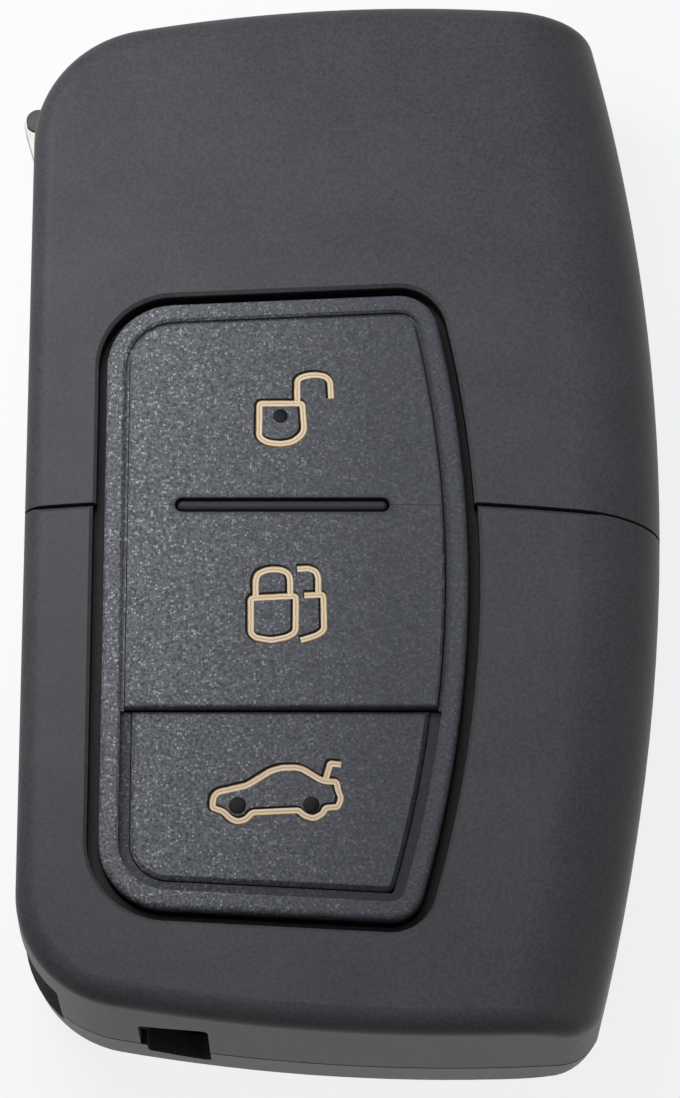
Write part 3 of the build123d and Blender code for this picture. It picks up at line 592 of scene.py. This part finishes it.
def polished_silicone():
    material = blank("polished_silicone")
    place = add(material, "ShaderNodeTexCoord").outputs["Object"]
    cloud = add(material, "ShaderNodeTexNoise", {"Vector": place, "Scale": 1 / (0.3 * mm), "Detail": 2.0})
    colour = ramp(material, cloud.outputs[0], [(0.35, linear("#08080a")), (0.65, linear("#101113"))])
    gloss = ramp(material, cloud.outputs[0], [(0.35, 0.3), (0.65, 0.42)])
    finish_shader(material, {"Base Color": colour.outputs[0], "Roughness": gloss.outputs[0], "IOR": 1.41,
                             "Specular IOR Level": 0.1})
    return material


def pip(name, x, y, radius, face_z, body, material):
    mesh = bmesh.new()
    rings = []
    for share, height in dome:
        ring = []
        for i in range(dome_sides):
            angle = math.tau * i / dome_sides
            ring.append(mesh.verts.new(((x + radius * share * math.cos(angle)) * mm,
                                        (y + radius * share * math.sin(angle)) * mm,
                                        face_z + height * mm)))
        rings.append(ring)
    for low, high in zip(rings, rings[1:]):
        for i in range(dome_sides):
            j = (i + 1) % dome_sides
            mesh.faces.new((low[i], low[j], high[j], high[i]))
    mesh.faces.new(rings[-1])
    for face in piece_from(mesh, name, material, body).data.polygons:
        face.use_smooth = True


pip_finish = polished_silicone()
pip("keyhole_pip", -4.05, 6.16, 0.5, lock_face_z, "unlock", pip_finish)
pip("front_wheel_pip", -6.69, -20.16, 0.58, boot_face_z, "boot", pip_finish)
pip("rear_wheel_pip", -1.97, -20.1, 0.55, boot_face_z, "boot", pip_finish)


# Circuit board on the pod's ledge. Glass-epoxy laminate, etched and coated with green
# solder mask: the copper tracks show through as paler lines, over the weave of the glass.

# The tracks run in rows a quarter of track_scale apart, the yarns 0.31 of weave_scale.
track_scale = 5 * mm
weave_scale = 0.9 * mm


def masked_laminate():
    material = blank("masked_laminate")
    place = add(material, "ShaderNodeTexCoord").outputs["Object"]
    tracks = add(material, "ShaderNodeTexBrick", {"Vector": place, "Scale": 1 / track_scale,
                                                  "Mortar Size": 0.035, "Color1": (0, 0, 0, 1),
                                                  "Color2": (0, 0, 0, 1), "Mortar": (1, 1, 1, 1)})
    weave = add(material, "ShaderNodeTexWave", {"Vector": place, "Scale": 1 / weave_scale,
                                                "Distortion": 1.0})
    cloth = ramp(material, weave.outputs[0], [(0.3, linear("#0f5a33")), (0.7, linear("#12663a"))])
    colour = add(material, "ShaderNodeMix", {0: tracks.outputs["Color"], 6: cloth.outputs[0],
                                             7: linear("#2b8a55")}, data_type="RGBA")
    skin = add(material, "ShaderNodeBump", {"Strength": 0.4, "Distance": 0.03 * mm,
                                            "Height": tracks.outputs["Fac"]})
    gloss = ramp(material, weave.outputs[0], [(0.3, 0.25), (0.7, 0.32)])
    finish_shader(material, {"Base Color": colour.outputs[2], "Roughness": gloss.outputs[0],
                             "Normal": skin.outputs[0], "IOR": 1.5})
    return material


dress("circuit_board", masked_laminate())


# Coin cell and its contacts. The cell is a pressed steel can, nickel plated and spun, so
# its marks run in circles. The contacts are bent from phosphor bronze strip, plated bright.

# The rings lie 0.31 of this apart: 0.5 mm, coarser than real spin marks, so that they show.
ring_scale = 1.6 * mm


def spun_nickel():
    material = blank("spun_nickel_steel")
    low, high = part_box("coin_cell")
    centre = tuple(-(low[i] + high[i]) / 2 for i in range(2)) + (0.0,)
    place = add(material, "ShaderNodeTexCoord").outputs["Object"]
    moved = add(material, "ShaderNodeMapping", {"Vector": place, "Location": centre})
    rings = add(material, "ShaderNodeTexWave", {"Vector": moved.outputs[0], "Scale": 1 / ring_scale,
                                                "Distortion": 0.6, "Detail": 3.0}, wave_type="RINGS",
                rings_direction="Z")
    smear = add(material, "ShaderNodeTexNoise", {"Vector": place, "Scale": 1 / (2.5 * mm), "Detail": 3.0})
    both = add(material, "ShaderNodeMix", {0: 0.5, 2: rings.outputs["Fac"], 3: smear.outputs[0]})
    colour = ramp(material, both.outputs[0], [(0.3, linear("#bdbcb8")), (0.7, linear("#d3d2ce"))])
    gloss = ramp(material, both.outputs[0], [(0.3, 0.22), (0.7, 0.36)])
    finish_shader(material, {"Base Color": colour.outputs[0], "Metallic": 1.0,
                             "Roughness": gloss.outputs[0]})
    return material


dress("coin_cell", spun_nickel())
bronze = plated_steel("plated_bronze_strip", "#b9975a", "#d9bd80", (1.0, 0.15, 1.0), 0.15 * mm, 0.3)
dress("battery_contact_negative", bronze)
dress("battery_contact_positive", bronze)


# Tact switches under the keys, soldered to the board: a pressed stainless cover on a black
# base, with a black nylon plunger through it. Both are told from the cover by height.

# All three stand at one height.
plunger_rise = 0.2 * mm
base_height = 0.3 * mm


def switch_finish():
    material = blank("pressed_stainless_and_nylon")
    low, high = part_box("unlock_switch")
    place = add(material, "ShaderNodeTexCoord").outputs["Object"]
    height = add(material, "ShaderNodeSeparateXYZ", {"Vector": place}).outputs["Z"]
    plunger = add(material, "ShaderNodeMath", {0: height, 1: high[2] - plunger_rise},
                  operation="GREATER_THAN")
    base = add(material, "ShaderNodeMath", {0: height, 1: low[2] + base_height}, operation="LESS_THAN")
    black = add(material, "ShaderNodeMath", {0: plunger.outputs[0], 1: base.outputs[0]},
                operation="MAXIMUM")
    rub = add(material, "ShaderNodeTexNoise", {"Vector": place, "Scale": 1 / (0.4 * mm), "Detail": 3.0})
    steel = ramp(material, rub.outputs[0], [(0.3, linear("#b4b5b6")), (0.7, linear("#cbcccd"))])
    colour = add(material, "ShaderNodeMix", {0: black.outputs[0], 6: steel.outputs[0],
                                             7: linear("#1d1d1f")}, data_type="RGBA")
    metal = add(material, "ShaderNodeMath", {0: 1.0, 1: black.outputs[0]}, operation="SUBTRACT")
    gloss = ramp(material, rub.outputs[0], [(0.3, 0.28), (0.7, 0.4)])
    finish_shader(material, {"Base Color": colour.outputs[2], "Metallic": metal.outputs[0],
                             "Roughness": gloss.outputs[0]})
    return material


tact = switch_finish()
for node in ("unlock_switch", "lock_switch", "boot_switch"):
    dress(node, tact)


# Controller on the board and immobiliser chip in the head. Moulded epoxy, black and faintly
# grained, with the matt face that such resin has as it leaves the press. The controller's
# legs are tinned copper, bent down on both sides.

# The resin's filler is finer than this. It is drawn coarser so that it shows.
resin_grit = 0.14 * mm
leg_reach = 0.59 * mm


def moulded_epoxy():
    material = blank("moulded_epoxy")
    place = add(material, "ShaderNodeTexCoord").outputs["Object"]
    grit = add(material, "ShaderNodeTexNoise", {"Vector": place, "Scale": 1 / resin_grit, "Detail": 2.0})
    colour = ramp(material, grit.outputs[0], [(0.3, linear("#1b1b1c")), (0.7, linear("#2a2a2b"))])
    gloss = ramp(material, grit.outputs[0], [(0.3, 0.4), (0.7, 0.55)])
    skin = add(material, "ShaderNodeBump", {"Strength": 0.3, "Distance": 0.01 * mm,
                                            "Height": grit.outputs[0]})
    finish_shader(material, {"Base Color": colour.outputs[0], "Roughness": gloss.outputs[0],
                             "Normal": skin.outputs[0], "IOR": 1.55})
    return material


def legged_epoxy():
    """The same resin, with the tinned legs that leave it on both sides."""
    material = blank("moulded_epoxy_with_tinned_legs")
    low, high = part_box("controller_chip")
    place = add(material, "ShaderNodeTexCoord").outputs["Object"]
    grit = add(material, "ShaderNodeTexNoise", {"Vector": place, "Scale": 1 / resin_grit, "Detail": 2.0})
    across = add(material, "ShaderNodeSeparateXYZ", {"Vector": place}).outputs["X"]
    aside = off_middle(material, across, (low[0] + high[0]) / 2)
    leg = add(material, "ShaderNodeMath", {0: aside, 1: (high[0] - low[0]) / 2 - leg_reach},
              operation="GREATER_THAN")
    body = ramp(material, grit.outputs[0], [(0.3, linear("#1b1b1c")), (0.7, linear("#2a2a2b"))])
    tin = ramp(material, grit.outputs[0], [(0.3, linear("#b9babb")), (0.7, linear("#d2d2d0"))])
    colour = add(material, "ShaderNodeMix", {0: leg.outputs[0], 6: body.outputs[0], 7: tin.outputs[0]},
                 data_type="RGBA")
    gloss = ramp(material, grit.outputs[0], [(0.3, 0.36), (0.7, 0.5)])
    finish_shader(material, {"Base Color": colour.outputs[2], "Metallic": leg.outputs[0],
                             "Roughness": gloss.outputs[0], "IOR": 1.55})
    return material


dress("controller_chip", legged_epoxy())
dress("transponder_chip", moulded_epoxy())


# Aerial under the board: enamelled copper wire wound side by side on a ferrite bar, so
# it shows as close copper rings with grey ends; the dark lines between the turns are painted shade.

# The turns lie 0.31 of this apart: 1.3 mm, coarser than the wire, so that they show.
turn_scale = 4 * mm
half_winding = 5.5 * mm


def wound_copper():
    material = blank("enamelled_copper_winding")
    place = add(material, "ShaderNodeTexCoord").outputs["Object"]
    turns = add(material, "ShaderNodeTexWave", {"Vector": place, "Scale": 1 / turn_scale,
                                                "Distortion": 0.1}, bands_direction="X")
    tone = add(material, "ShaderNodeTexNoise", {"Vector": place, "Scale": 1 / (1.2 * mm), "Detail": 2.0})
    both = add(material, "ShaderNodeMix", {0: 0.25, 2: turns.outputs["Fac"], 3: tone.outputs[0]})
    # Painted shade: the copper darkens to near black between the turns.
    copper = ramp(material, both.outputs[0], [(0.12, linear("#2c120a")), (0.45, linear("#9a4e24")),
                                              (0.85, linear("#c87941"))])
    ferrite = ramp(material, tone.outputs[0], [(0.3, linear("#2a2a2d")), (0.7, linear("#3a3a3e"))])
    low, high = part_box("antenna_coil")
    along = add(material, "ShaderNodeSeparateXYZ", {"Vector": place}).outputs["X"]
    aside = off_middle(material, along, (low[0] + high[0]) / 2)
    wound = add(material, "ShaderNodeMath", {0: aside, 1: half_winding}, operation="LESS_THAN")
    colour = add(material, "ShaderNodeMix", {0: wound.outputs[0], 6: ferrite.outputs[0],
                                             7: copper.outputs[0]}, data_type="RGBA")
    metal = add(material, "ShaderNodeMath", {0: wound.outputs[0], 1: 0.6}, operation="MULTIPLY")
    gloss = ramp(material, tone.outputs[0], [(0.3, 0.28), (0.7, 0.4)])
    skin = add(material, "ShaderNodeBump", {"Strength": 0.8, "Distance": 0.05 * mm,
                                            "Height": turns.outputs["Fac"]})
    finish_shader(material, {"Base Color": colour.outputs[2], "Metallic": metal.outputs[0],
                             "Roughness": gloss.outputs[0], "Normal": skin.outputs[0]})
    return material


dress("antenna_coil", wound_copper())


# Floor: a plain white table, painted matt, that keeps the key's shadow. It shows near white:
# what a camera or a reflection sees is mixed with pure white by own_white's share.

table_half = 2.5
table_drop = 0.02 * mm
own_white = 0.85


def seen_white(tree):
    """1 for a ray from the camera, a reflection or glass, 0 for the light that falls on things."""
    rays = add(tree, "ShaderNodeLightPath")
    seen = add(tree, "ShaderNodeMath", {0: rays.outputs["Is Camera Ray"], 1: rays.outputs["Is Glossy Ray"]},
               operation="MAXIMUM")
    return add(tree, "ShaderNodeMath", {0: seen.outputs[0], 1: rays.outputs["Is Transmission Ray"]},
               operation="MAXIMUM").outputs[0]


def white_floor():
    material = blank("white_table")
    place = add(material, "ShaderNodeTexCoord").outputs["Object"]
    tooth = add(material, "ShaderNodeTexNoise", {"Vector": place, "Scale": 1 / (1.5 * mm), "Detail": 2.0})
    tone = ramp(material, tooth.outputs[0], [(0.3, linear("#f4f4f4")), (0.7, linear("#f7f7f7"))])
    matt = add(material, "ShaderNodeBsdfDiffuse", {"Color": tone.outputs[0]})
    glow = add(material, "ShaderNodeEmission", {"Color": (1.0, 1.0, 1.0, 1.0), "Strength": 1.0})
    share = add(material, "ShaderNodeMath", {0: seen_white(material), 1: own_white}, operation="MULTIPLY")
    both = add(material, "ShaderNodeMixShader", {0: share.outputs[0], 1: matt.outputs[0],
                                                 2: glow.outputs[0]})
    add(material, "ShaderNodeOutputMaterial", {"Surface": both.outputs[0]})
    return material


floor_mesh = bmesh.new()
bmesh.ops.create_grid(floor_mesh, x_segments=4, y_segments=4, size=table_half)
floor_data = bpy.data.meshes.new("floor")
floor_mesh.to_mesh(floor_data)
floor_mesh.free()
floor = bpy.data.objects.new("floor", floor_data)
floor.location.z = -table_drop
bpy.context.collection.objects.link(floor)
floor.data.materials.append(white_floor())


# Studio light: one soft box overhead and a little to the left, weak ones low behind the
# head end and low on the right, and a dim pale room. The white table throws light back
# on the upright walls.

room_dim = 0.1


def soft_box(name, place, target, size, watts):
    lamp = bpy.data.lights.new(name, "AREA")
    lamp.shape = "RECTANGLE"
    lamp.size, lamp.size_y = size
    lamp.energy = watts
    holder = bpy.data.objects.new(name, lamp)
    holder.location = place
    holder.rotation_euler = (Vector(target) - Vector(place)).to_track_quat("-Z", "Y").to_euler()
    bpy.context.collection.objects.link(holder)


soft_box("key_light", (-0.036, 0.033, 0.102), (0, 0, 0.015), (0.06, 0.1), 0.102)
soft_box("head_light", (0.05, 0.3, 0.12), (0, 0, 0.01), (0.3, 0.1), 0.08)
soft_box("side_light", (0.3, -0.1, 0.05), (0.02, -0.01, 0.008), (0.2, 0.06), 0.08)

world = bpy.data.worlds.new("room")
bpy.context.scene.world = world
world.use_nodes = True
world.node_tree.nodes.clear()
room_level = add(world, "ShaderNodeMapRange", {"Value": seen_white(world), "To Min": room_dim,
                                               "To Max": 1.0})
room_light = add(world, "ShaderNodeBackground", {"Color": (1.0, 1.0, 1.0, 1.0),
                                                 "Strength": room_level.outputs[0]})
add(world, "ShaderNodeOutputWorld", {"Surface": room_light.outputs[0]})


# Camera: 27 cm from the key, leaning 18 degrees towards its lower end, as in the
# photograph. The small shift puts the key where it lies in the photograph's frame.

lean = math.radians(18.0)
distance = 270 * mm
aim = Vector((-0.25 * mm, -0.85 * mm, 12.0 * mm))
camera_data = bpy.data.cameras.new("camera")
camera_data.sensor_width = 36.0
camera_data.lens = 132.8
camera_data.shift_x = 0.0018
camera_data.shift_y = -0.0073
camera_data.clip_start = 10 * mm
camera = bpy.data.objects.new("camera", camera_data)
camera.location = aim + distance * Vector((0, -math.sin(lean), math.cos(lean)))
camera.rotation_euler = (lean, 0, 0)
bpy.context.collection.objects.link(camera)
bpy.context.scene.camera = camera
bpy.context.scene.view_settings.view_transform = "Standard"
